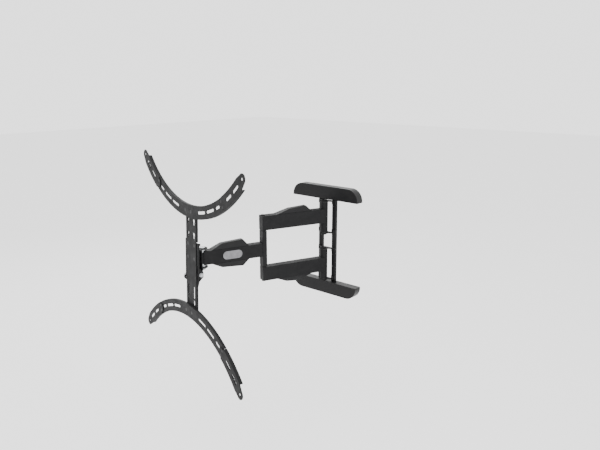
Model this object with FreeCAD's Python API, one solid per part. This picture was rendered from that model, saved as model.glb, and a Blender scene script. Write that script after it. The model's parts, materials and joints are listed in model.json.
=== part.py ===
import FreeCAD, Part
import math
import os
from FreeCAD import Placement, Rotation, Vector

# Full motion wall mount for a flat television, millimetres, +Z up.
# Origin: centre of the wall plate's back face. +X runs along the wall, +Y points into the wall,
# so the arms reach out along -Y. Each moving group is modelled straight out along -Y in its own
# frame, with its pivot on the frame's Z axis, and is then turned to its rest pose.

# ---- rest pose -------------------------------------------------------------------------------
WALL_PIVOT_Y = -29.0        # wall hinge axis in front of the wall
INNER_ANGLE = -22.0         # inner arms, from straight out of the wall, + towards +X
FRONT_ANGLE = -21.9         # front arm
HEAD_ANGLE = -13.4          # television bracket
REST_TILT = -2.2            # bracket tilt, + leans the top away from the wall
INNER_LENGTH = 239.5        # wall hinge to elbow
FRONT_LENGTH = 218.0        # elbow to swivel

# ---- wall plate and its covers ---------------------------------------------------------------
SHEET = 2.5                 # pressed steel of the wall plate
RAIL_IN = 21.5              # inner and outer side of each upright rail
RAIL_OUT = 37.5
RAIL_DEPTH = 10.5
WING_HALF = 132.0           # cross wings behind the covers
WING_LOW = 156.0
WING_HIGH = 192.0
WING_CORNER = 16.0
LAG_LEVEL = (WING_LOW + WING_HIGH) / 2      # height of the wall bolt holes
LAG_HOLE_R = 4.5
LAG_SLOT_X = 80.0           # centre of each long adjusting slot
LAG_SLOT_LENGTH = 56.0
COVER_HALF = WING_HALF + 11.5
COVER_DEPTH = 31.0
COVER_LOW = WING_LOW - 3.0  # flat edge nearest the middle
COVER_HEIGHT = WING_HIGH + 7.0 - COVER_LOW
COVER_LIP = 4.0
COVER_CORNER_R = 42.0
COVER_WALL = 2.4
COVER_POST_X = 108.0
COVER_POST_R = 3.5

# ---- wall hinges -----------------------------------------------------------------------------
HINGE_LEVEL = 87.0          # middle of each hinge, above and below the centre
HINGE_HEIGHT = 120.0        # over the ears
EAR_THICK = 4.0
EAR_R = 15.0
EAR_TAB_HEIGHT = 14.0
EAR_TAB_THICK = 2.5
WALL_PIN_R = 6.0
WALL_BUSH_R = 8.0
WALL_SLEEVE_R = 13.5
WALL_BUSH_LENGTH = 22.0
TAB_SCREW_R = 2.5

# ---- arms ------------------------------------------------------------------------------------
ARM_WIDTH = 30.0
ARM_WALL = 2.5
INNER_HEIGHT = 50.0
INNER_LEVEL = 3.0           # mid height between the two inner arms
INNER_SPREAD = 180.0        # between the centre lines of the two inner arms
FRONT_HEIGHT = 46.5
FRONT_LEVEL = 0.0
POST_DEPTH = 16.0           # elbow post, along the arm
POST_PLUG_LENGTH = 26.0
ELBOW_PIN_R = 4.0
END_BLOCK_LENGTH = 22.0

# ---- arm covers ------------------------------------------------------------------------------
SKIN = 2.0                  # plastic wall of the cable covers
RIDGE_HALF = 8.5            # half width of a cover's flat ridge
SEAM = 0.6                  # shadow groove where a cover meets its arm
INNER_COVER_START = 58.0    # along the arm, from the wall hinge
INNER_COVER_END = INNER_LENGTH - 46.5
UPPER_COVER_RISE = 20.0
LOWER_COVER_RISE = 20.5
# where each ridge begins and ends, as shares of the cover's length
UPPER_COVER_SHOULDERS = (0.15, 0.62)
LOWER_COVER_SHOULDERS = (0.38, 0.72)
FRONT_COVER_START = 58.0    # along the arm, from the elbow
FRONT_COVER_END = FRONT_LENGTH - 28.0
FRONT_COVER_RISE = 23.0
FRONT_COVER_SHOULDERS = (0.15, 0.72)
RIDGE_FALL = 0.78           # height of the ridge at its far end, as a share of the rise
BADGE_AT = 118.0
BADGE_LENGTH = 68.0
BADGE_HEIGHT = 28.0
BADGE_THICK = 1.6

# ---- swivel head -----------------------------------------------------------------------------
SWIVEL_PIN_R = 6.0
SWIVEL_BUSH_R = 8.0
SWIVEL_SLEEVE_R = ARM_WIDTH / 2
SWIVEL_SLEEVE_HEIGHT = 35.0
SWIVEL_SPACER_R = 11.0
SWIVEL_HEAD_R = 9.6
SWIVEL_HEAD = 2.0
YOKE_LEVEL = 30.0           # inner face of each yoke plate, from the arm's mid height
YOKE_PLATE = 3.0
YOKE_HALF = 17.5
YOKE_WEB_BACK = -SWIVEL_SLEEVE_R - 1.5      # back of the yoke's upright web, from the swivel axis
YOKE_WEB_THICK = 3.5
HINGE_PLATE_THICK = 3.0
HINGE_PLATE_HALF = 41.5
HINGE_PLATE_TOP = 36.0
HINGE_PLATE_BOTTOM = -52.0
TILT_Z = -42.0
TILT_BOLT_R = 4.0
TILT_NUT_R = 1.7 * TILT_BOLT_R
# the tilt axis stands off the hinge plate's front by the nut's corner and a clearance
TILT_Y = YOKE_WEB_BACK - YOKE_WEB_THICK - HINGE_PLATE_THICK - TILT_NUT_R - 0.2
TILT_FLANGE_R = TILT_BOLT_R + 2.8
TILT_HEAD_R = TILT_BOLT_R + 2.2
TILT_EAR_R = TILT_BOLT_R + 5.0
TILT_NUT = 3.0              # thin nuts, which stop short of the spine's flanges
LOCK_ARM = 29.0             # tilt axis down to the lock stem, left side only
LOCK_STEM_R = 3.0
LOCK_LOBE_RIM = 4.0         # steel left round the lock slot
LOCK_SLOT_ENDS = (-6.5, 16.5)
KNOB_R = 13.0
KNOB_LENGTH = 11.0
KNOB_FLUTES = 12

# ---- television bracket ----------------------------------------------------------------------
FACE_Y = TILT_Y - 24.0      # television face, from the swivel axis
BRACKET_LEVEL = -7.0        # height of the bracket's centre
BRACKET_SHEET = 2.5
ARC_R = 456.0               # centre line of the curved arms' slots
ARC_LOW = 168.5             # its lowest point, from the bracket's centre
ARC_BAND = 42.0             # width of the curved arms' face
CENTRE_END = 31.5           # degrees along the arc where the centre arm's face ends
JOINT_ANGLE = 29.8          # where the extension's flanges take over
TONGUE_ANGLE = 29.4
TONGUE_R = 16.0
FLANGE_END = 44.3
TIP_ANGLE = 47.1
TIP_R = 16.0
SCREW_HOLE_R = 4.25         # slots and tip holes
CENTRE_SLOTS = [(8.5, 14.7), (16.0, 22.1), (23.7, 27.1)]
EXTENSION_SLOTS = [(33.2, 37.3), (39.1, 43.5)]
FLANGE_REACH = 12.0         # flanges' back edge, from the television face
SPINE_HALF = 35.0
SPINE_FLANGE = 8.0
SPINE_TOP = ARC_LOW + 17.5
KEYHOLE_X = 20.0
KEYHOLE_R = 6.5
# low and high end of each, all set in from the arm bolts at each end of the spine
KEYHOLES = [(ARC_LOW - 46.5, ARC_LOW - 24.5), (ARC_LOW - 90.5, ARC_LOW - 68.5)]
SPINE_SLOTS = [(46.5 - ARC_LOW, 88.5 - ARC_LOW), (23.5 - ARC_LOW, 41.5 - ARC_LOW)]
CHEEK_SHEET = 3.0
CHEEK_DEPTH = 4.5           # behind the spine's face, above the tilt axis
TILT_WEB_LOW = -12.0
TILT_WEB_HIGH = 62.0
LUG_R = 4.0                 # small rounded lug at the top of each cheek
ARM_BOLT_X = 20.0
ARM_BOLT_R = 3.0
FLUSH_HEAD = 1.3            # depth of the flush screw heads
FLUSH_HEAD_R = 6.0
TILT_SCREW_X = 22.0
TILT_SCREW_LEVELS = (6.0, 50.0)
RIVET_OFFSET = 9.0          # from the arc's centre line
RIVET_R = 3.0
RIVET_HEAD_R = 4.8
RIVET_HEAD = 1.2

# ---- clearances ------------------------------------------------------------------------------
RUN = 0.06                  # running clearance on a radius
GAP = 0.3                   # between faces that move past each other
WASHER = 1.2
CHEEK_IN = HINGE_PLATE_HALF + WASHER + GAP     # the bracket's cheeks ride on the friction washers
CHEEK_OUT = CHEEK_IN + CHEEK_SHEET

UP = Vector(0, 0, 1)
NODES = {}


# ---- basic solids ----------------------------------------------------------------------------
def box(x0, x1, y0, y1, z0, z1):
    return Part.makeBox(x1 - x0, y1 - y0, z1 - z0, Vector(x0, y0, z0))


def rod(radius, start, end):
    start, end = Vector(*start), Vector(*end)
    return Part.makeCylinder(radius, (end - start).Length, start, end - start)


def ring(outer, inner, start, end):
    return rod(outer, start, end).cut(rod(inner, start, end))


def hexagon(radius, start, end):
    """Six-sided prism, radius over its corners."""
    axis = Vector(*end) - Vector(*start)
    turn = Rotation(UP, axis)
    corners = [turn.multVec(Vector(radius * math.cos(a), radius * math.sin(a), 0)) + Vector(*start)
               for a in [math.radians(60 * k) for k in range(7)]]
    return Part.Face(Part.makePolygon(corners)).extrude(axis)


def plate(points, axis, low, high):
    """Polygon extruded along X, Y or Z; its points are the two other coordinates in X, Y, Z order."""
    places = {"X": lambda a, b: Vector(low, a, b), "Y": lambda a, b: Vector(a, low, b),
              "Z": lambda a, b: Vector(a, b, low)}
    directions = {"X": Vector(1, 0, 0), "Y": Vector(0, 1, 0), "Z": UP}
    corners = [places[axis](a, b) for a, b in points]
    outline = Part.makePolygon(corners + [corners[0]])
    return Part.Face(outline).extrude(directions[axis] * (high - low))


def fuse(first, *others):
    solid = first
    for other in others:
        solid = solid.fuse(other)
    return solid.removeSplitter()


def cut(solid, *tools):
    for tool in tools:
        solid = solid.cut(tool)
    return solid


def group(solids):
    return Part.makeCompound(solids)


def mirrored(shape, normal):
    return shape.mirror(Vector(0, 0, 0), Vector(*normal))


def moved(shape, placement):
    copy = shape.copy()
    copy.Placement = placement.multiply(copy.Placement)
    return copy


def keep(name, shape, placement=None):
    NODES[name] = shape if placement is None else moved(shape, placement)


# ---- rest placements -------------------------------------------------------------------------
def ahead(angle, distance):
    """Plan vector of a length pointing straight out of a group turned by an angle."""
    turn = math.radians(angle)
    return Vector(distance * math.sin(turn), -distance * math.cos(turn), 0)


WALL_PIVOT = Vector(0, WALL_PIVOT_Y, 0)
ELBOW = WALL_PIVOT + ahead(INNER_ANGLE, INNER_LENGTH)
SWIVEL = ELBOW + ahead(FRONT_ANGLE, FRONT_LENGTH)
INNER_PLACE = Placement(WALL_PIVOT, Rotation(UP, INNER_ANGLE))
FRONT_PLACE = Placement(ELBOW, Rotation(UP, FRONT_ANGLE))
HEAD_PLACE = Placement(SWIVEL, Rotation(UP, HEAD_ANGLE))
TILT_AXIS = Vector(0, TILT_Y, TILT_Z)
TILT_PLACE = Placement(Vector(0, 0, 0), Rotation(Vector(1, 0, 0), REST_TILT), TILT_AXIS)
BRACKET_PLACE = HEAD_PLACE.multiply(TILT_PLACE)


# ---- wall plate ------------------------------------------------------------------------------
def make_wall_plate():
    corner = WING_HIGH - WING_CORNER
    wing = plate([(-WING_HALF, WING_LOW), (WING_HALF, WING_LOW), (WING_HALF, corner),
                  (WING_HALF - WING_CORNER, WING_HIGH), (WING_CORNER - WING_HALF, WING_HIGH),
                  (-WING_HALF, corner)], "Y", -SHEET, 0)
    reach = LAG_SLOT_LENGTH / 2 - LAG_HOLE_R
    for side in (-1, 1):
        middle = side * LAG_SLOT_X
        wing = cut(wing, box(middle - reach, middle + reach, -SHEET, 0,
                             LAG_LEVEL - LAG_HOLE_R, LAG_LEVEL + LAG_HOLE_R))
        for end in (middle - reach, middle + reach):
            wing = cut(wing, rod(LAG_HOLE_R, (end, -SHEET, LAG_LEVEL), (end, 0, LAG_LEVEL)))
    wing = cut(wing, rod(LAG_HOLE_R, (0, -SHEET, LAG_LEVEL), (0, 0, LAG_LEVEL)))
    body = fuse(wing, mirrored(wing, (0, 0, 1)))
    for side in (-1, 1):
        low, high = sorted((side * RAIL_IN, side * RAIL_OUT))
        end = WING_LOW + 2 * SHEET
        outer = box(low, high, -RAIL_DEPTH, 0, -end, end)
        inner = box(low + SHEET, high - SHEET, SHEET - RAIL_DEPTH, 0, -WING_LOW, WING_LOW)
        body = body.fuse(outer.cut(inner))
    body = body.removeSplitter()
    for x, z in tab_screw_places():
        body = cut(body, rod(TAB_SCREW_R, (x, -RAIL_DEPTH, z), (x, SHEET - RAIL_DEPTH, z)))
    keep("wall_plate", body)


def tab_screw_places():
    """Screws that hold the hinge ears' bent tabs to the rails."""
    middle = (RAIL_IN + RAIL_OUT) / 2
    inset = EAR_THICK + (EAR_TAB_HEIGHT - EAR_THICK) / 2
    levels = [side * (HINGE_LEVEL + end * (HINGE_HEIGHT / 2 - inset)) for side in (-1, 1) for end in (-1, 1)]
    return [(x, z) for x in (-middle, middle) for z in levels]


def cover_block(half, depth, low, height, lip, corner):
    """Solid under a quarter-ellipse front with quarter-round ends, meeting at mitred creases."""
    top = low + height
    shoulder = low + lip
    steps = 14
    curve = [(-depth * math.cos(math.pi / 2 * k / steps), shoulder
              + (height - lip) * math.sin(math.pi / 2 * k / steps)) for k in range(steps + 1)]
    points = [Vector(-half, y, z) for y, z in curve]
    spline = Part.BSplineCurve()
    spline.interpolate(points)
    edges = [Part.makeLine(Vector(-half, 0, low), Vector(-half, -depth, low)),
             Part.makeLine(Vector(-half, -depth, low), points[0]), spline.toShape(),
             Part.makeLine(points[-1], Vector(-half, 0, low))]
    long_block = Part.Face(Part.Wire(edges)).extrude(Vector(2 * half, 0, 0))
    left, right = Vector(-half, -depth, low), Vector(half, -depth, low)
    left_up, right_up = Vector(-half, -depth, top - corner), Vector(half, -depth, top - corner)
    left_top, right_top = Vector(corner - half, -depth, top), Vector(half - corner, -depth, top)
    bow = corner * (1 - math.sqrt(0.5))
    left_mid, right_mid = Vector(bow - half, -depth, top - bow), Vector(half - bow, -depth, top - bow)
    outline = Part.Wire([Part.makeLine(left, right), Part.makeLine(right, right_up),
                         Part.Arc(right_up, right_mid, right_top).toShape(),
                         Part.makeLine(right_top, left_top),
                         Part.Arc(left_top, left_mid, left_up).toShape(),
                         Part.makeLine(left_up, left)])
    front_block = Part.Face(outline).extrude(Vector(0, depth, 0))
    return long_block.common(front_block)


def make_wall_covers():
    w = COVER_WALL
    outer = cover_block(COVER_HALF, COVER_DEPTH, COVER_LOW, COVER_HEIGHT, COVER_LIP, COVER_CORNER_R)
    inner = cover_block(COVER_HALF - w, COVER_DEPTH - w, COVER_LOW + w, COVER_HEIGHT - 2 * w,
                        COVER_LIP, COVER_CORNER_R - w)
    shell = outer.cut(inner)
    for side in (-1, 1):
        x0, x1 = sorted((side * (RAIL_IN - GAP), side * (RAIL_OUT + GAP)))
        shell = shell.cut(box(x0, x1, -RAIL_DEPTH - GAP, 0, COVER_LOW, COVER_LOW + w))
        post = rod(COVER_POST_R, (side * COVER_POST_X, -SHEET, WING_LOW + 8),
                   (side * COVER_POST_X, -COVER_DEPTH, WING_LOW + 8)).common(outer)
        shell = shell.fuse(post)
    keep("top_wall_cover", shell)
    keep("bottom_wall_cover", mirrored(shell, (0, 0, 1)))


def make_hinge_ears():
    """Four ears that carry the two wall hinge pins, each with two bent tabs on the rails."""
    half = HINGE_HEIGHT / 2
    tab_y = -RAIL_DEPTH - EAR_TAB_THICK
    slope_y = WALL_PIVOT_Y + EAR_R * 0.3
    flat = plate([(-RAIL_OUT, -RAIL_DEPTH), (-RAIL_OUT, tab_y), (-EAR_R, slope_y), (-EAR_R, WALL_PIVOT_Y),
                  (EAR_R, WALL_PIVOT_Y), (EAR_R, slope_y), (RAIL_OUT, tab_y), (RAIL_OUT, -RAIL_DEPTH)],
                 "Z", 0, EAR_THICK)
    flat = fuse(flat, rod(EAR_R, (0, WALL_PIVOT_Y, 0), (0, WALL_PIVOT_Y, EAR_THICK)))
    for side in (-1, 1):
        low, high = sorted((side * RAIL_IN, side * RAIL_OUT))
        tab = box(low, high, tab_y, -RAIL_DEPTH, 0, EAR_TAB_HEIGHT)
        middle = (RAIL_IN + RAIL_OUT) / 2 * side
        level = EAR_THICK + (EAR_TAB_HEIGHT - EAR_THICK) / 2
        flat = fuse(flat, tab)
        flat = cut(flat, rod(TAB_SCREW_R, (middle, tab_y, level), (middle, -RAIL_DEPTH, level)))
    ear = cut(flat, rod(WALL_PIN_R, (0, WALL_PIVOT_Y, 0), (0, WALL_PIVOT_Y, EAR_THICK)))
    flipped = mirrored(ear, (0, 0, 1))
    for name, level in (("upper", HINGE_LEVEL), ("lower", -HINGE_LEVEL)):
        keep(name + "_hinge_bottom_ear", moved(ear, Placement(Vector(0, 0, level - half), Rotation())))
        keep(name + "_hinge_top_ear", moved(flipped, Placement(Vector(0, 0, level + half), Rotation())))


def make_wall_hinge_hardware():
    half = HINGE_HEIGHT / 2
    y = WALL_PIVOT_Y
    nuts, washers, bushes, screws = [], [], [], []
    sleeve_half = half - EAR_THICK - WASHER - GAP
    for name, level in (("upper", HINGE_LEVEL), ("lower", -HINGE_LEVEL)):
        top, bottom = level + half, level - half
        head = rod(WALL_PIN_R * 1.6, (0, y, top), (0, y, top + 4))
        pin = fuse(head, rod(WALL_PIN_R, (0, y, bottom - 4), (0, y, top)))
        keep(name + "_wall_pivot_pin", pin)
        nuts.append(ring(WALL_PIN_R * 1.6, WALL_PIN_R, (0, y, bottom - 4), (0, y, bottom)))
        for side in (-1, 1):
            face = level + side * sleeve_half
            washers.append(ring(WALL_SLEEVE_R, WALL_PIN_R + RUN, (0, 0, face), (0, 0, face + side * WASHER)))
            bushes.append(ring(WALL_BUSH_R, WALL_PIN_R + RUN, (0, 0, face),
                               (0, 0, face - side * WALL_BUSH_LENGTH)))
    tab_front = -RAIL_DEPTH - EAR_TAB_THICK
    for x, z in tab_screw_places():
        screws.append(fuse(rod(TAB_SCREW_R * 1.8, (x, tab_front - 2.2, z), (x, tab_front, z)),
                           rod(TAB_SCREW_R, (x, tab_front, z), (x, SHEET - RAIL_DEPTH, z))))
    keep("wall_pivot_retainers", group(nuts))
    keep("hinge_ear_screws", group(screws))
    keep("wall_pivot_washers", group(washers), INNER_PLACE)
    keep("wall_pivot_bushes", group(bushes), INNER_PLACE)


# ---- inner arms ------------------------------------------------------------------------------
def make_inner_arm(name, level, hinge_level):
    half_width, half = ARM_WIDTH / 2, INNER_HEIGHT / 2
    end = INNER_LENGTH + POST_DEPTH / 2
    sleeve_half = HINGE_HEIGHT / 2 - EAR_THICK - WASHER - GAP
    tube = box(-half_width, half_width, -end, 0, level - half, level + half)
    inside = box(ARM_WALL - half_width, half_width - ARM_WALL, END_BLOCK_LENGTH - end,
                 -WALL_SLEEVE_R - ARM_WALL, level - half + ARM_WALL, level + half - ARM_WALL)
    # the tube's wall end is cut to the sleeve's round, so that it clears the rails
    round_end = fuse(box(-half_width, half_width, -end, -1, level - half, level + half),
                     rod(WALL_SLEEVE_R, (0, 0, level - half), (0, 0, level + half)))
    sleeve_low, sleeve_high = hinge_level - sleeve_half, hinge_level + sleeve_half
    sleeve = rod(WALL_SLEEVE_R, (0, 0, sleeve_low), (0, 0, sleeve_high))
    solid = fuse(tube.common(round_end).cut(inside), sleeve)
    solid = cut(solid, rod(WALL_BUSH_R, (0, 0, sleeve_low), (0, 0, sleeve_high)),
                rod(ELBOW_PIN_R, (0, -INNER_LENGTH, level - half), (0, -INNER_LENGTH, level + half)))
    keep(name + "_inner_arm", solid, INNER_PLACE)


def make_elbow_pins():
    """One pin through each inner arm's end into the elbow post, with its head outside."""
    half = INNER_HEIGHT / 2
    washers = []
    for name, side in (("upper", 1), ("lower", -1)):
        level = INNER_LEVEL + side * INNER_SPREAD / 2
        outside, inside = level + side * half, level - side * half
        y = -INNER_LENGTH
        reach = inside - side * (WASHER + GAP + POST_PLUG_LENGTH - 2)
        head = rod(ELBOW_PIN_R * 1.7, (0, y, outside), (0, y, outside + side * 3.5))
        keep(name + "_elbow_pin", fuse(head, rod(ELBOW_PIN_R, (0, y, reach), (0, y, outside))), INNER_PLACE)
        washers.append(ring(POST_DEPTH / 2 - 0.5, ELBOW_PIN_R, (0, y, inside), (0, y, inside - side * WASHER)))
    keep("elbow_washers", group(washers), INNER_PLACE)


def cable_cover(start, end, rise, shoulders, face, side):
    """Hollow plastic cover on an arm's top (side 1) or bottom (side -1) face, closed at both ends."""
    def hull(inset):
        first, last = start + inset, end - inset
        length, height = last - first, rise - inset
        low = face - side * inset
        ridge_start, ridge_end = first + shoulders[0] * length, first + shoulders[1] * length
        side_view = plate([(-first, low), (-first, face), (-ridge_start, face + side * height),
                           (-ridge_end, face + side * (height - (1 - RIDGE_FALL) * rise)),
                           (-last, face), (-last, low)], "X", -ARM_WIDTH, ARM_WIDTH)
        wide, ridge = ARM_WIDTH / 2 - SEAM - inset, RIDGE_HALF - inset / 2
        top = face + side * (rise + 1)
        section = plate([(-wide, low), (wide, low), (wide, face + side * 1.5), (ridge, top), (-ridge, top),
                         (-wide, face + side * 1.5)], "Y", -end, -start)
        return side_view.common(section)

    outer = hull(0.01).cut(box(-ARM_WIDTH, ARM_WIDTH, -end, -start, *sorted((face, face - side))))
    return outer.cut(hull(SKIN))


def make_inner_covers():
    half = INNER_HEIGHT / 2
    for name, side, rise, shoulders in (("upper", 1, UPPER_COVER_RISE, UPPER_COVER_SHOULDERS),
                                        ("lower", -1, LOWER_COVER_RISE, LOWER_COVER_SHOULDERS)):
        face = INNER_LEVEL + side * (INNER_SPREAD / 2 + half)
        cover = cable_cover(INNER_COVER_START, INNER_COVER_END, rise, shoulders, face, side)
        keep(name + "_inner_arm_cover", cover, INNER_PLACE)


# ---- front arm -------------------------------------------------------------------------------
def make_front_arm():
    """Tube whose sides run on past its top and bottom to the swivel axis, round a solid knuckle."""
    half_width, half = ARM_WIDTH / 2, FRONT_HEIGHT / 2
    low, high = FRONT_LEVEL - half, FRONT_LEVEL + half
    inner = half_width - ARM_WALL
    mouth = SWIVEL_SPACER_R + 1 - FRONT_LENGTH
    tube = cut(box(-half_width, half_width, -FRONT_LENGTH, -POST_DEPTH / 2, low, high),
               box(-inner, inner, -FRONT_LENGTH, -POST_DEPTH / 2, low + ARM_WALL, high - ARM_WALL),
               box(-inner, inner, -FRONT_LENGTH, mouth, low, high))
    keep("front_arm_tube", tube, FRONT_PLACE)

    sleeve_low = FRONT_LEVEL - SWIVEL_SLEEVE_HEIGHT / 2
    sleeve_high = FRONT_LEVEL + SWIVEL_SLEEVE_HEIGHT / 2
    tongue = box(-inner, inner, -FRONT_LENGTH, mouth + 30, sleeve_low, sleeve_high)
    ribs = [box(-inner, inner, mouth, mouth + 30, low + ARM_WALL, sleeve_low),
            box(-inner, inner, mouth, mouth + 30, sleeve_high, high - ARM_WALL)]
    ends = (0, -FRONT_LENGTH, sleeve_low), (0, -FRONT_LENGTH, sleeve_high)
    knuckle = cut(fuse(tongue, rod(SWIVEL_SLEEVE_R, *ends), *ribs), tube, rod(SWIVEL_BUSH_R, *ends))
    keep("swivel_knuckle", knuckle, FRONT_PLACE)
    keep("swivel_bush", ring(SWIVEL_BUSH_R, SWIVEL_PIN_R + RUN, *ends), FRONT_PLACE)


def post_ends():
    inner_face = INNER_SPREAD / 2 - INNER_HEIGHT / 2 - WASHER - GAP
    return INNER_LEVEL - inner_face, INNER_LEVEL + inner_face


def make_elbow_post():
    half_width, half_depth = ARM_WIDTH / 2, POST_DEPTH / 2
    low, high = post_ends()
    inside = box(ARM_WALL - half_width, half_width - ARM_WALL, ARM_WALL - half_depth, half_depth - ARM_WALL,
                 low, high)
    post = box(-half_width, half_width, -half_depth, half_depth, low, high).cut(inside)
    keep("elbow_post", post, FRONT_PLACE)
    for name, end, side in (("upper", high, -1), ("lower", low, 1)):
        z0, z1 = sorted((end, end + side * POST_PLUG_LENGTH))
        plug = box(ARM_WALL - half_width, half_width - ARM_WALL, ARM_WALL - half_depth, half_depth - ARM_WALL,
                   z0, z1)
        keep(name + "_elbow_plug", plug.cut(rod(ELBOW_PIN_R + RUN, (0, 0, z0), (0, 0, z1))), FRONT_PLACE)


def make_front_covers():
    for name, side in (("upper", 1), ("lower", -1)):
        face = FRONT_LEVEL + side * FRONT_HEIGHT / 2
        cover = cable_cover(FRONT_COVER_START, FRONT_COVER_END, FRONT_COVER_RISE, FRONT_COVER_SHOULDERS,
                            face, side)
        keep(name + "_front_arm_cover", cover, FRONT_PLACE)
    keep("front_arm_badge", badge(), FRONT_PLACE)


def badge():
    """Plain rounded plate on the side of the front arm."""
    reach = (BADGE_LENGTH - BADGE_HEIGHT) / 2
    x0, x1 = ARM_WIDTH / 2, ARM_WIDTH / 2 + BADGE_THICK
    radius = BADGE_HEIGHT / 2
    body = box(x0, x1, -BADGE_AT - reach, -BADGE_AT + reach, FRONT_LEVEL - radius, FRONT_LEVEL + radius)
    for y in (-BADGE_AT - reach, -BADGE_AT + reach):
        body = body.fuse(rod(radius, (x0, y, FRONT_LEVEL), (x1, y, FRONT_LEVEL)))
    return body.removeSplitter()


# ---- swivel head -----------------------------------------------------------------------------
def make_yoke():
    """Two plates above and below the arm on an upright web, with spacers down to the knuckle."""
    sleeve_half = SWIVEL_SLEEVE_HEIGHT / 2
    web_front = YOKE_WEB_BACK - YOKE_WEB_THICK
    reach = YOKE_LEVEL + YOKE_PLATE
    plates, washers, spacers = [], [], []
    for side in (-1, 1):
        z0, z1 = sorted((FRONT_LEVEL + side * YOKE_LEVEL, FRONT_LEVEL + side * reach))
        flat = fuse(rod(YOKE_HALF, (0, 0, z0), (0, 0, z1)), box(-YOKE_HALF, YOKE_HALF, web_front, 0, z0, z1))
        plates.append(cut(flat, rod(SWIVEL_PIN_R, (0, 0, z0), (0, 0, z1))))
        washer_in = FRONT_LEVEL + side * (sleeve_half + GAP)
        washer_out = washer_in + side * WASHER
        washers.append(ring(SWIVEL_SPACER_R, SWIVEL_PIN_R, (0, 0, washer_in), (0, 0, washer_out)))
        spacers.append(ring(SWIVEL_SPACER_R, SWIVEL_PIN_R, (0, 0, washer_out),
                            (0, 0, FRONT_LEVEL + side * YOKE_LEVEL)))
    top, bottom = FRONT_LEVEL + reach, FRONT_LEVEL - reach
    web = box(-YOKE_HALF, YOKE_HALF, web_front, YOKE_WEB_BACK, bottom, top)
    keep("swivel_yoke", fuse(web, *plates), HEAD_PLACE)
    keep("swivel_washers", group(washers), HEAD_PLACE)
    keep("swivel_spacers", group(spacers), HEAD_PLACE)
    bolt = fuse(rod(SWIVEL_HEAD_R, (0, 0, top), (0, 0, top + SWIVEL_HEAD)),
                rod(SWIVEL_PIN_R, (0, 0, bottom - 9), (0, 0, top)))
    keep("swivel_bolt", bolt, HEAD_PLACE)
    nut = cut(hexagon(SWIVEL_PIN_R * 1.75, (0, 0, bottom - 7), (0, 0, bottom)),
              rod(SWIVEL_PIN_R, (0, 0, bottom - 7), (0, 0, bottom)))
    keep("swivel_nut", nut, HEAD_PLACE)


def make_tilt_hinge_plate():
    """Cross plate with a tilt ear at each end; the left ear runs down to carry the lock stem."""
    back = YOKE_WEB_BACK - YOKE_WEB_THICK
    half = HINGE_PLATE_HALF
    lock_z = TILT_Z - LOCK_ARM
    body = box(-half, half, back - HINGE_PLATE_THICK, back, HINGE_PLATE_BOTTOM, HINGE_PLATE_TOP)
    for side in (-1, 1):
        x0, x1 = sorted((side * (half - HINGE_PLATE_THICK), side * half))
        body = fuse(body, rod(TILT_EAR_R, (x0, TILT_Y, TILT_Z), (x1, TILT_Y, TILT_Z)),
                    box(x0, x1, TILT_Y, back, TILT_Z - TILT_EAR_R, TILT_Z + TILT_EAR_R))
        if side < 0:
            body = fuse(body, box(x0, x1, TILT_Y - 5, TILT_Y + 5, lock_z, TILT_Z),
                        rod(LOCK_STEM_R + 4, (x0, TILT_Y, lock_z), (x1, TILT_Y, lock_z)))
            body = cut(body, rod(LOCK_STEM_R, (x0, TILT_Y, lock_z), (x1, TILT_Y, lock_z)))
        body = cut(body, rod(TILT_BOLT_R, (x0, TILT_Y, TILT_Z), (x1, TILT_Y, TILT_Z)))
    keep("tilt_hinge_plate", body, HEAD_PLACE)


def make_tilt_hardware():
    """A bolt through each ear is the tilt axis; a hand knob on the left clamps the tilt."""
    ear_in = HINGE_PLATE_HALF - HINGE_PLATE_THICK
    face = CHEEK_OUT + GAP
    bolts, nuts, washers = [], [], []
    for side in (-1, 1):
        def at(x):
            return (side * x, TILT_Y, TILT_Z)
        bolts.append(fuse(rod(TILT_BOLT_R, at(ear_in - TILT_NUT), at(face)),
                          rod(TILT_FLANGE_R, at(face), at(face + WASHER)),
                          hexagon(TILT_HEAD_R, at(face + WASHER), at(face + WASHER + 5))))
        nuts.append(cut(hexagon(TILT_NUT_R, at(ear_in - TILT_NUT), at(ear_in)),
                        rod(TILT_BOLT_R, at(ear_in - TILT_NUT), at(ear_in))))
        washers.append(ring(TILT_EAR_R, TILT_BOLT_R, at(HINGE_PLATE_HALF), at(HINGE_PLATE_HALF + WASHER)))
    keep("tilt_bolts", group(bolts), HEAD_PLACE)
    keep("tilt_nuts", group(nuts), HEAD_PLACE)
    keep("tilt_friction_washers", group(washers), HEAD_PLACE)
    lock_z = TILT_Z - LOCK_ARM
    inner, outer = -CHEEK_OUT - 2 * GAP, -CHEEK_OUT - 2 * GAP - KNOB_LENGTH
    knob = rod(KNOB_R, (inner, TILT_Y, lock_z), (outer, TILT_Y, lock_z))
    for k in range(KNOB_FLUTES):
        turn = 2 * math.pi * k / KNOB_FLUTES
        y, z = TILT_Y + KNOB_R * math.cos(turn), lock_z + KNOB_R * math.sin(turn)
        knob = knob.cut(rod(1.6, (inner, y, z), (outer, y, z)))
    knob = fuse(knob, rod(LOCK_STEM_R, (-ear_in, TILT_Y, lock_z), (inner, TILT_Y, lock_z)))
    keep("tilt_lock_knob", knob, HEAD_PLACE)


# ---- television bracket ----------------------------------------------------------------------
def polar(radius, angle, y):
    """Point at a radius and angle (degrees from straight down) about the upper arc's centre."""
    turn = math.radians(angle)
    return Vector(radius * math.sin(turn), y, ARC_LOW + ARC_R - radius * math.cos(turn))


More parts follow.
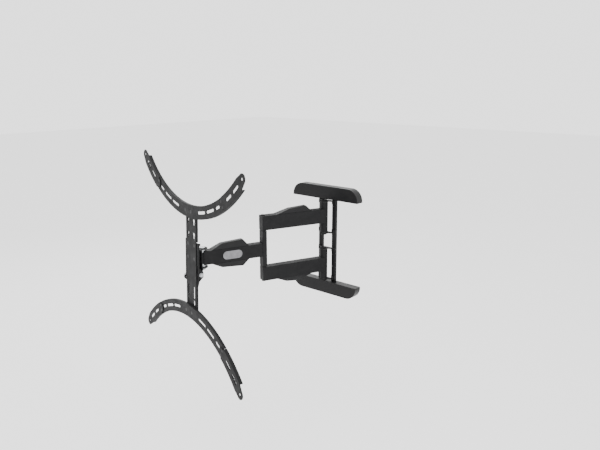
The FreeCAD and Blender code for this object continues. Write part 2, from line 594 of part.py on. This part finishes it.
def band(inner, outer, start, end, front, back):
    """Curved strip between two radii and two angles, from a front to a back plane."""
    middle = (start + end) / 2
    outline = Part.Wire([
        Part.Arc(polar(inner, start, front), polar(inner, middle, front), polar(inner, end, front)).toShape(),
        Part.makeLine(polar(inner, end, front), polar(outer, end, front)),
        Part.Arc(polar(outer, end, front), polar(outer, middle, front), polar(outer, start, front)).toShape(),
        Part.makeLine(polar(outer, start, front), polar(inner, start, front))])
    return Part.Face(outline).extrude(Vector(0, back - front, 0))


def disc(radius, angle, front, back, offset=0.0):
    centre = polar(ARC_R + offset, angle, front)
    return Part.makeCylinder(radius, back - front, centre, Vector(0, 1, 0))


def arc_slot(start, end, front, back):
    """Slot along the arc, its ends rounded, start and end measured over the ends."""
    margin = math.degrees(SCREW_HOLE_R / ARC_R)
    first, last = start + margin, end - margin
    return fuse(band(ARC_R - SCREW_HOLE_R, ARC_R + SCREW_HOLE_R, first, last, front, back),
                disc(SCREW_HOLE_R, first, front, back), disc(SCREW_HOLE_R, last, front, back))


def both_levels(name, shape):
    """Keep a bracket piece for the upper arm and its mirror image for the lower arm."""
    lift = Placement(Vector(0, 0, BRACKET_LEVEL), Rotation())
    keep("upper_" + name, moved(shape, lift), BRACKET_PLACE)
    keep("lower_" + name, moved(mirrored(shape, (0, 0, 1)), lift), BRACKET_PLACE)


def make_curved_centre():
    web_front = FACE_Y + BRACKET_SHEET
    web_back = web_front + BRACKET_SHEET
    flange_back = FACE_Y + FLANGE_REACH
    inner, outer = ARC_R - ARC_BAND / 2, ARC_R + ARC_BAND / 2
    t = BRACKET_SHEET
    body = fuse(band(inner, outer, -JOINT_ANGLE + 0.2, JOINT_ANGLE - 0.2, web_front, web_back),
                band(inner, inner + t, -JOINT_ANGLE + 0.2, JOINT_ANGLE - 0.2, web_front, flange_back),
                band(outer - t, outer, -JOINT_ANGLE + 0.2, JOINT_ANGLE - 0.2, web_front, flange_back),
                band(inner + t + GAP, outer - t - GAP, -CENTRE_END, CENTRE_END, web_front, web_back))
    for side in (-1, 1):
        for start, end in CENTRE_SLOTS:
            body = cut(body, arc_slot(*sorted((side * start, side * end)), web_front, web_back))
        for offset in (-RIVET_OFFSET, RIVET_OFFSET):
            body = cut(body, disc(RIVET_R, side * TONGUE_ANGLE, web_front, web_back, offset))
        x = side * ARM_BOLT_X
        body = cut(body, rod(ARM_BOLT_R, (x, web_front, ARC_LOW), (x, web_back, ARC_LOW)),
                   rod(FLUSH_HEAD_R, (x, web_front, ARC_LOW), (x, web_front + FLUSH_HEAD, ARC_LOW)))
    both_levels("curved_arm", body)


def make_extension():
    front, web_back = FACE_Y, FACE_Y + BRACKET_SHEET
    flange_back = FACE_Y + FLANGE_REACH
    inner, outer = ARC_R - ARC_BAND / 2, ARC_R + ARC_BAND / 2
    t = BRACKET_SHEET
    tip_in, tip_out = ARC_R - TIP_R, ARC_R + TIP_R
    taper = Part.Face(Part.makePolygon([polar(inner, FLANGE_END, front), polar(outer, FLANGE_END, front),
                                        polar(tip_out, TIP_ANGLE, front), polar(tip_in, TIP_ANGLE, front),
                                        polar(inner, FLANGE_END, front)])).extrude(Vector(0, t, 0))
    body = fuse(disc(TONGUE_R, TONGUE_ANGLE, front, web_back),
                band(ARC_R - TONGUE_R, ARC_R + TONGUE_R, TONGUE_ANGLE, JOINT_ANGLE + 1, front, web_back),
                band(inner, outer, JOINT_ANGLE, FLANGE_END, front, web_back),
                band(inner, inner + t, JOINT_ANGLE, FLANGE_END, front, flange_back),
                band(outer - t, outer, JOINT_ANGLE, FLANGE_END, front, flange_back),
                taper, disc(TIP_R, TIP_ANGLE, front, web_back))
    for start, end in EXTENSION_SLOTS:
        body = cut(body, arc_slot(start, end, front, web_back))
    body = cut(body, disc(SCREW_HOLE_R, TIP_ANGLE, front, web_back))
    for offset in (-RIVET_OFFSET, RIVET_OFFSET):
        body = cut(body, disc(RIVET_R, TONGUE_ANGLE, front, web_back, offset),
                   disc(RIVET_HEAD_R, TONGUE_ANGLE, front, front + RIVET_HEAD, offset))
    both_levels("right_extension", body)
    both_levels("left_extension", mirrored(body, (1, 0, 0)))


def make_extension_rivets():
    back = FACE_Y + 2 * BRACKET_SHEET
    rivets = []
    for offset in (-RIVET_OFFSET, RIVET_OFFSET):
        rivet = fuse(disc(RIVET_HEAD_R, TONGUE_ANGLE, FACE_Y, FACE_Y + RIVET_HEAD, offset),
                     disc(RIVET_R, TONGUE_ANGLE, FACE_Y, back, offset),
                     disc(RIVET_HEAD_R, TONGUE_ANGLE, back, back + 1.5, offset))
        rivets += [rivet, mirrored(rivet, (1, 0, 0))]
    both_levels("extension_rivets", group(rivets))


def spine_slot(x, low, high, width_r, front, back):
    return fuse(box(x - width_r, x + width_r, front, back, low + width_r, high - width_r),
                rod(width_r, (x, front, low + width_r), (x, back, low + width_r)),
                rod(width_r, (x, front, high - width_r), (x, back, high - width_r)))


def make_spine():
    front = FACE_Y + FLANGE_REACH
    back = front + BRACKET_SHEET
    rear = front + SPINE_FLANGE
    half, t = SPINE_HALF, BRACKET_SHEET
    body = fuse(box(-half, half, front, back, -SPINE_TOP, SPINE_TOP),
                box(-half, t - half, front, rear, -SPINE_TOP, SPINE_TOP),
                box(half - t, half, front, rear, -SPINE_TOP, SPINE_TOP))
    notch_low, notch_high = TILT_WEB_LOW - BRACKET_LEVEL - 2, TILT_WEB_HIGH - BRACKET_LEVEL + 2
    body = cut(body, box(-half, half, back, rear, notch_low, notch_high))
    for x in (-KEYHOLE_X, KEYHOLE_X):
        for low, high in KEYHOLES:
            throat = spine_slot(x, low, high - KEYHOLE_R, SCREW_HOLE_R, front, back)
            middle = high - KEYHOLE_R
            body = cut(body, throat, rod(KEYHOLE_R, (x, front, middle), (x, back, middle)))
        for low, high in SPINE_SLOTS:
            body = cut(body, spine_slot(x, low, high, SCREW_HOLE_R, front, back))
        for z in (-ARC_LOW, ARC_LOW):
            body = cut(body, rod(ARM_BOLT_R, (x, front, z), (x, back, z)))
    for x, z in tilt_screw_places():
        level = z - BRACKET_LEVEL
        body = cut(body, rod(ARM_BOLT_R, (x, front, level), (x, back, level)),
                   rod(FLUSH_HEAD_R, (x, front, level), (x, front + FLUSH_HEAD, level)))
    keep("spine", moved(body, Placement(Vector(0, 0, BRACKET_LEVEL), Rotation())), BRACKET_PLACE)


def tilt_screw_places():
    return [(x, z) for x in (-TILT_SCREW_X, TILT_SCREW_X) for z in TILT_SCREW_LEVELS]


def make_tilt_bracket():
    """Channel behind the spine: a web and two cheeks that turn on the tilt bolts."""
    front = FACE_Y + FLANGE_REACH + BRACKET_SHEET
    body = box(-CHEEK_OUT, CHEEK_OUT, front, front + CHEEK_SHEET, TILT_WEB_LOW, TILT_WEB_HIGH)
    shallow, deep = front + CHEEK_DEPTH, TILT_Y + TILT_EAR_R
    profile = [(front, TILT_WEB_HIGH), (shallow, TILT_WEB_HIGH), (shallow, TILT_Z + 22),
               (deep, TILT_Z + 8), (deep, TILT_Z - 8), (shallow, TILT_Z - 22),
               (front + 1, TILT_Z - 37), (front, TILT_Z - 37)]
    lug_z = TILT_WEB_HIGH - LUG_R
    for side in (-1, 1):
        x0, x1 = sorted((side * CHEEK_IN, side * CHEEK_OUT))
        body = fuse(body, plate(profile, "X", x0, x1), rod(LUG_R, (x0, shallow, lug_z), (x1, shallow, lug_z)))
        if side < 0:
            slot = LOCK_STEM_R + 2 * GAP
            lobe = lock_sweep(x0, x1, slot + LOCK_LOBE_RIM)
            neck = box(x0, x1, front, deep - 2, TILT_Z - LOCK_ARM, TILT_Z)
            body = cut(fuse(body, lobe, neck), lock_sweep(x0, x1, slot))
        body = cut(body, rod(TILT_BOLT_R + RUN, (x0, TILT_Y, TILT_Z), (x1, TILT_Y, TILT_Z)))
    for x, z in tilt_screw_places():
        body = cut(body, rod(ARM_BOLT_R, (x, front, z), (x, front + CHEEK_SHEET, z)))
    keep("tilt_bracket", body, BRACKET_PLACE)


def lock_sweep(x0, x1, width):
    """Round-ended arc about the tilt axis, as wide to each side of the lock stem's path."""
    def spot(radius, tilt):
        turn = math.radians(tilt)
        return Vector(x0, TILT_Y - radius * math.sin(turn), TILT_Z - radius * math.cos(turn))
    low, high = LOCK_SLOT_ENDS
    middle = (low + high) / 2
    inner, outer = LOCK_ARM - width, LOCK_ARM + width
    outline = Part.Wire([Part.Arc(spot(inner, low), spot(inner, middle), spot(inner, high)).toShape(),
                         Part.makeLine(spot(inner, high), spot(outer, high)),
                         Part.Arc(spot(outer, high), spot(outer, middle), spot(outer, low)).toShape(),
                         Part.makeLine(spot(outer, low), spot(inner, low))])
    ends = [Part.makeCylinder(width, x1 - x0, spot(LOCK_ARM, end), Vector(1, 0, 0)) for end in (low, high)]
    return fuse(Part.Face(outline).extrude(Vector(x1 - x0, 0, 0)), *ends)


def make_bracket_fasteners():
    web_front = FACE_Y + BRACKET_SHEET
    spine_front = FACE_Y + FLANGE_REACH
    spine_back = spine_front + BRACKET_SHEET
    web_back = web_front + BRACKET_SHEET
    lift = Placement(Vector(0, 0, BRACKET_LEVEL), Rotation())
    bolts, nuts, spacers = [], [], []
    for x in (-ARM_BOLT_X, ARM_BOLT_X):
        for z in (-ARC_LOW, ARC_LOW):
            bolts.append(fuse(rod(FLUSH_HEAD_R, (x, web_front, z), (x, web_front + FLUSH_HEAD, z)),
                              rod(ARM_BOLT_R, (x, web_front, z), (x, spine_back + 6, z))))
            spacers.append(ring(2.2 * ARM_BOLT_R, ARM_BOLT_R, (x, web_back, z), (x, spine_front, z)))
            nuts.append(cut(hexagon(1.9 * ARM_BOLT_R, (x, spine_back, z), (x, spine_back + 5, z)),
                            rod(ARM_BOLT_R, (x, spine_back, z), (x, spine_back + 5, z))))
    keep("curved_arm_bolts", moved(group(bolts), lift), BRACKET_PLACE)
    keep("curved_arm_nuts", moved(group(nuts), lift), BRACKET_PLACE)
    keep("curved_arm_spacers", moved(group(spacers), lift), BRACKET_PLACE)
    tilt_back = spine_back + CHEEK_OUT - CHEEK_IN
    screws, locknuts = [], []
    for x, z in tilt_screw_places():
        screws.append(fuse(rod(FLUSH_HEAD_R, (x, spine_front, z), (x, spine_front + FLUSH_HEAD, z)),
                           rod(ARM_BOLT_R, (x, spine_front, z), (x, tilt_back + 4.5, z))))
        locknuts.append(cut(hexagon(1.9 * ARM_BOLT_R, (x, tilt_back, z), (x, tilt_back + 4.5, z)),
                            rod(ARM_BOLT_R, (x, tilt_back, z), (x, tilt_back + 4.5, z))))
    keep("spine_screws", group(screws), BRACKET_PLACE)
    keep("spine_nuts", group(locknuts), BRACKET_PLACE)


# ---- build -----------------------------------------------------------------------------------
make_wall_plate()
make_wall_covers()
make_hinge_ears()
make_wall_hinge_hardware()
make_inner_arm("upper", INNER_LEVEL + INNER_SPREAD / 2, HINGE_LEVEL)
make_inner_arm("lower", INNER_LEVEL - INNER_SPREAD / 2, -HINGE_LEVEL)
make_elbow_pins()
make_inner_covers()
make_front_arm()
make_elbow_post()
make_front_covers()
make_yoke()
make_tilt_hinge_plate()
make_tilt_hardware()
make_curved_centre()
make_extension()
make_extension_rivets()
make_spine()
make_tilt_bracket()
make_bracket_fasteners()

os.makedirs("parts", exist_ok=True)
for node, shape in NODES.items():
    shape.exportStep("parts/" + node + ".step")
print(len(NODES), "nodes; elbow", [round(v, 2) for v in ELBOW], "swivel", [round(v, 2) for v in SWIVEL],
      "tilt axis", [round(v, 2) for v in HEAD_PLACE.multVec(TILT_AXIS)])
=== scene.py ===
import json
import math

import bmesh
import bpy
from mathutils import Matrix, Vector


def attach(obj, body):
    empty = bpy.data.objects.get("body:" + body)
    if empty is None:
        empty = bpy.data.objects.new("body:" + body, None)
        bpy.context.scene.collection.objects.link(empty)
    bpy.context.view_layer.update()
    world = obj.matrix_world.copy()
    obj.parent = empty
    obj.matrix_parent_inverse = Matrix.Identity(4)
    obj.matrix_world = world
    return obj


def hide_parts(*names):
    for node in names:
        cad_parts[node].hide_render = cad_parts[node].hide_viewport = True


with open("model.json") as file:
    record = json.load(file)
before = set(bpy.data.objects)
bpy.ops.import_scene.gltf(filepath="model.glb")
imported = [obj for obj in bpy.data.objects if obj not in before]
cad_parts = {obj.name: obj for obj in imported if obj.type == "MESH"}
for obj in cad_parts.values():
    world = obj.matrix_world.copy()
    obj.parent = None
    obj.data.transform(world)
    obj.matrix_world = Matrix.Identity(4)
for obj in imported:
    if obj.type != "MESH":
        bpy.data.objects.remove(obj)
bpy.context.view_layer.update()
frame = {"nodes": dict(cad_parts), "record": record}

# ---- camera, metres and degrees --------------------------------------------------------------
CAMERA_AT = (1.264, -1.642, 0.567)
CAMERA_TURN = 40.5          # about the vertical, from looking along +Y
CAMERA_DROP = 14.0          # below the horizon
CAMERA_LENS = 35.2

FLOOR_Z = -0.78
MM = 0.001

# ---- edge rounding of each group of parts, metres ---------------------------------------------
SHEET_EDGE = 0.45 * MM      # cut and pressed sheet
TUBE_EDGE = 1.6 * MM        # drawn tube corners
PLASTIC_EDGE = 2.2 * MM     # moulded covers
TURNED_EDGE = 0.5 * MM      # pins, bolts and nuts
NYLON_EDGE = 0.2 * MM       # thin washers and bushes
EDGE_ANGLE = math.radians(28)       # a turn sharper than this is an edge
FLAT_ANGLE = math.radians(0.6)      # neighbours flatter than this are one face
JOIN_REACH = 0.02 * MM              # corners closer than this are one corner

# ---- studio ----------------------------------------------------------------------------------
STUDIO_MIDDLE = (-0.1, -0.3, 0)
FLOOR_REACH = 14
WORLD_STRENGTH = 2.2
# place, size in metres and power in watts
LIGHTS = {"key": ((0.6, -1.6, 2.6), (2.2, 2.2), 55),
          "fill": ((2.6, -0.6, 0.9), (1.6, 2.4), 12),
          "back": ((-2.4, 0.6, 1.6), (1.6, 2.0), 25)}


# ---- materials -------------------------------------------------------------------------------
class Nodes:
    """Short way to build one material's node tree."""

    def __init__(self, name):
        self.material = bpy.data.materials.new(name)
        self.material.use_nodes = True
        self.tree = self.material.node_tree
        self.shader = self.tree.nodes["Principled BSDF"]
        self.place = self.tree.nodes.new("ShaderNodeTexCoord").outputs["Object"]

    def node(self, kind, **sockets):
        made = self.tree.nodes.new(kind)
        for key, value in sockets.items():
            self.put(made.inputs[key.replace("_", " ")], value)
        return made

    def put(self, socket, value):
        if isinstance(value, bpy.types.NodeSocket):
            self.tree.links.new(value, socket)
        else:
            socket.default_value = value

    def math(self, operation, a, b=0.0):
        made = self.tree.nodes.new("ShaderNodeMath")
        made.operation = operation
        self.put(made.inputs[0], a)
        self.put(made.inputs[1], b)
        return made.outputs[0]

    def noise(self, scale, detail=2.0, place=None):
        made = self.node("ShaderNodeTexNoise", Scale=scale, Detail=detail, Vector=place or self.place)
        return made.outputs["Fac"]

    def spread(self, value, low, high, to_low, to_high):
        made = self.tree.nodes.new("ShaderNodeMapRange")
        for socket, number in zip(list(made.inputs)[:5], (value, low, high, to_low, to_high)):
            self.put(socket, number)
        return made.outputs[0]

    def mix(self, amount, a, b):
        made = self.tree.nodes.new("ShaderNodeMix")
        made.data_type = "RGBA"
        self.put(made.inputs["Factor"], amount)
        self.put(made.inputs["A"], (*a, 1) if isinstance(a, tuple) else a)
        self.put(made.inputs["B"], (*b, 1) if isinstance(b, tuple) else b)
        return made.outputs["Result"]

    def bump(self, height, strength, distance, normal=None):
        made = self.node("ShaderNodeBump", Height=height, Strength=strength, Distance=distance)
        if normal is not None:
            self.put(made.inputs["Normal"], normal)
        return made.outputs["Normal"]

    def set(self, **sockets):
        for key, value in sockets.items():
            if isinstance(value, tuple):
                value = (*value, 1)
            self.put(self.shader.inputs[key.replace("_", " ")], value)

    def edges(self):
        """1 along sharp outer edges, 0 elsewhere, from the mesh's own shape."""
        point = self.tree.nodes.new("ShaderNodeNewGeometry").outputs["Pointiness"]
        return self.spread(point, 0.515, 0.56, 0.0, 1.0)


def powder_coat(name, dark, light, roughness=0.42, pebble=900):
    """Satin powder coat: fine orange peel, faint mottling, edges worn slightly paler."""
    n = Nodes(name)
    mottle = n.spread(n.noise(14, 4), 0.35, 0.65, 0.0, 1.0)
    base = n.mix(mottle, dark, light)
    worn = n.math("MULTIPLY", n.edges(), n.spread(n.noise(60, 3), 0.4, 0.65, 0.05, 0.45))
    n.set(Base_Color=n.mix(worn, base, tuple(1.7 * c for c in light)), Metallic=0.0,
          Roughness=n.spread(n.noise(40, 3), 0.3, 0.7, roughness - 0.06, roughness + 0.08))
    n.set(Specular_IOR_Level=0.16)
    peel = n.bump(n.noise(pebble, 2), 0.25, 0.0002)
    n.set(Normal=n.bump(n.noise(120, 2), 0.12, 0.0004, peel))
    return n.material


def moulded_plastic(name, dark, light, roughness, grain, depth):
    """Moulded plastic with a fine spark-eroded grain and soft scuffs."""
    n = Nodes(name)
    scuff = n.spread(n.noise(22, 5), 0.5, 0.72, 0.0, 0.7)
    n.set(Base_Color=n.mix(scuff, dark, light),
          Roughness=n.spread(n.noise(30, 4), 0.3, 0.7, roughness - 0.05, roughness + 0.07))
    n.set(Specular_IOR_Level=0.18)
    cells = n.node("ShaderNodeTexVoronoi", Scale=grain, Vector=n.place).outputs["Distance"]
    n.set(Normal=n.bump(n.math("ADD", cells, n.noise(grain * 0.6, 3)), depth, 0.0002))
    return n.material


def plated_steel(name, tint, roughness, brush=(1, 1, 12)):
    """Zinc plated or bare steel with fine tool marks and a little cloudiness."""
    n = Nodes(name)
    stretch = n.node("ShaderNodeMapping", Vector=n.place)
    stretch.inputs["Scale"].default_value = brush
    marks = n.noise(260, 3, stretch.outputs["Vector"])
    cloud = n.spread(n.noise(90, 4), 0.35, 0.65, 0.0, 1.0)
    n.set(Base_Color=n.mix(cloud, tuple(0.78 * c for c in tint), tint), Metallic=1.0,
          Roughness=n.spread(marks, 0.3, 0.7, roughness - 0.06, roughness + 0.1))
    n.set(Normal=n.bump(marks, 0.18, 0.0001))
    return n.material


def nylon(name, colour):
    n = Nodes(name)
    n.set(Base_Color=n.mix(n.noise(80, 3), tuple(0.7 * c for c in colour), colour), Roughness=0.55,
          Subsurface_Weight=0.0)
    n.set(Normal=n.bump(n.noise(700, 2), 0.15, 0.0001))
    return n.material


def plain_studio(name, colour):
    n = Nodes(name)
    n.set(Base_Color=n.mix(n.noise(3, 2), tuple(0.985 * c for c in colour), colour), Roughness=0.9)
    return n.material


MATERIALS = {
    "black_steel": powder_coat("black_powder_coat", (0.0036, 0.0036, 0.0040), (0.0042, 0.0042, 0.0046),
                               0.58),
    "wall_cover_plastic": moulded_plastic("satin_cover_plastic", (0.0034, 0.0034, 0.0038), (0.0050, 0.0050, 0.0054),
                                          0.36, 1500, 0.12),
    "arm_cover_plastic": moulded_plastic("textured_cover_plastic", (0.0050, 0.0050, 0.0055),
                                         (0.0085, 0.0085, 0.0090), 0.5, 1100, 0.4),
    "badge_metal": plated_steel("badge_metal", (0.20, 0.20, 0.21), 0.34, (40, 1, 1)),
    "nylon": nylon("black_nylon", (0.010, 0.010, 0.010)),
    "plain_steel": plated_steel("machined_steel", (0.45, 0.45, 0.46), 0.35),
    "zinc_steel": plated_steel("zinc_plate", (0.42, 0.43, 0.44), 0.27),
    "black_hardware": powder_coat("black_oxide", (0.0045, 0.0045, 0.0050), (0.0065, 0.0065, 0.0070), 0.34, 1600),
    "knob_grey": moulded_plastic("grey_knob_plastic", (0.30, 0.30, 0.31), (0.38, 0.38, 0.39), 0.42, 1300, 0.2),
}


# ---- pieces made from the CAD's own shapes ---------------------------------------------------
SLOT_OF = {part["node"]: part["material_slot"] for part in frame["record"]["subparts"]}
BODY_OF = {node: body for body, nodes in frame["record"]["behaviour"]["bodies"].items() for node in nodes}
EDGE_OF = {"black_steel": SHEET_EDGE, "wall_cover_plastic": PLASTIC_EDGE, "arm_cover_plastic": PLASTIC_EDGE,
           "badge_metal": SHEET_EDGE, "nylon": NYLON_EDGE, "plain_steel": SHEET_EDGE, "zinc_steel": TURNED_EDGE,
           "black_hardware": TURNED_EDGE, "knob_grey": TURNED_EDGE}
TUBES = {"upper_inner_arm", "lower_inner_arm", "front_arm_tube", "elbow_post"}


def clean_copy(node):
    """The node's mesh with its doubled corners joined and its flat faces made whole."""
    mesh = frame["nodes"][node].data.copy()
    made = bmesh.new()
    made.from_mesh(mesh)
    bmesh.ops.remove_doubles(made, verts=made.verts, dist=JOIN_REACH)
    bmesh.ops.dissolve_limit(made, angle_limit=FLAT_ANGLE, verts=made.verts, edges=made.edges)
    made.to_mesh(mesh)
    made.free()
    return mesh


def add_piece(name, mesh, node, slot_name):
    piece = bpy.data.objects.new(name, mesh)
    bpy.context.scene.collection.objects.link(piece)
    mesh.materials.clear()
    mesh.materials.append(MATERIALS[slot_name])
    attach(piece, BODY_OF[node])
    return piece


def soften(piece, width, segments=2):
    """Round every edge by the same small radius, less where it is crowded, and shade the rest smoothly."""
    for polygon in piece.data.polygons:
        polygon.use_smooth = True
    piece.data.set_sharp_from_angle(angle=EDGE_ANGLE)
    bevel = piece.modifiers.new("edges", "BEVEL")
    bevel.width = width
    bevel.segments = segments
    bevel.limit_method = "ANGLE"
    bevel.angle_limit = EDGE_ANGLE
    bevel.use_clamp_overlap = True
    bevel.harden_normals = True


def refined(node):
    slot_name = SLOT_OF[node]
    piece = add_piece(node + "_piece", clean_copy(node), node, slot_name)
    soften(piece, TUBE_EDGE if node in TUBES else EDGE_OF[slot_name])
    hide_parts(node)
    return piece


for node_name in sorted(SLOT_OF):
    refined(node_name)


# ---- camera, light and floor -----------------------------------------------------------------
def add_camera():
    camera = bpy.data.objects.new("camera", bpy.data.cameras.new("camera"))
    bpy.context.scene.collection.objects.link(camera)
    camera.location = CAMERA_AT
    camera.rotation_euler = (math.radians(90 - CAMERA_DROP), 0, math.radians(CAMERA_TURN))
    camera.data.lens = CAMERA_LENS
    camera.data.sensor_width = 36
    camera.data.clip_end = 50
    bpy.context.scene.camera = camera


def add_area(name, at, towards, size, power):
    light = bpy.data.objects.new(name, bpy.data.lights.new(name, "AREA"))
    bpy.context.scene.collection.objects.link(light)
    light.location = at
    light.rotation_euler = (Vector(towards) - Vector(at)).to_track_quat("-Z", "Y").to_euler()
    light.data.shape = "RECTANGLE"
    light.data.size, light.data.size_y = size
    light.data.energy = power


def add_studio():
    for name, (at, size, power) in LIGHTS.items():
        add_area(name, at, STUDIO_MIDDLE, size, power)
    world = bpy.data.worlds.new("studio")
    world.use_nodes = True
    world.node_tree.nodes["Background"].inputs["Color"].default_value = (1, 1, 1, 1)
    world.node_tree.nodes["Background"].inputs["Strength"].default_value = WORLD_STRENGTH
    bpy.context.scene.world = world
    mesh = bpy.data.meshes.new("floor")
    corners = [(x * FLOOR_REACH, y * FLOOR_REACH, FLOOR_Z) for x, y in ((-1, -1), (1, -1), (1, 1), (-1, 1))]
    mesh.from_pydata(corners, [], [(0, 1, 2, 3)])
    floor = bpy.data.objects.new("floor", mesh)
    bpy.context.scene.collection.objects.link(floor)
    mesh.materials.append(plain_studio("studio_floor", (0.9, 0.9, 0.9)))


add_camera()
add_studio()
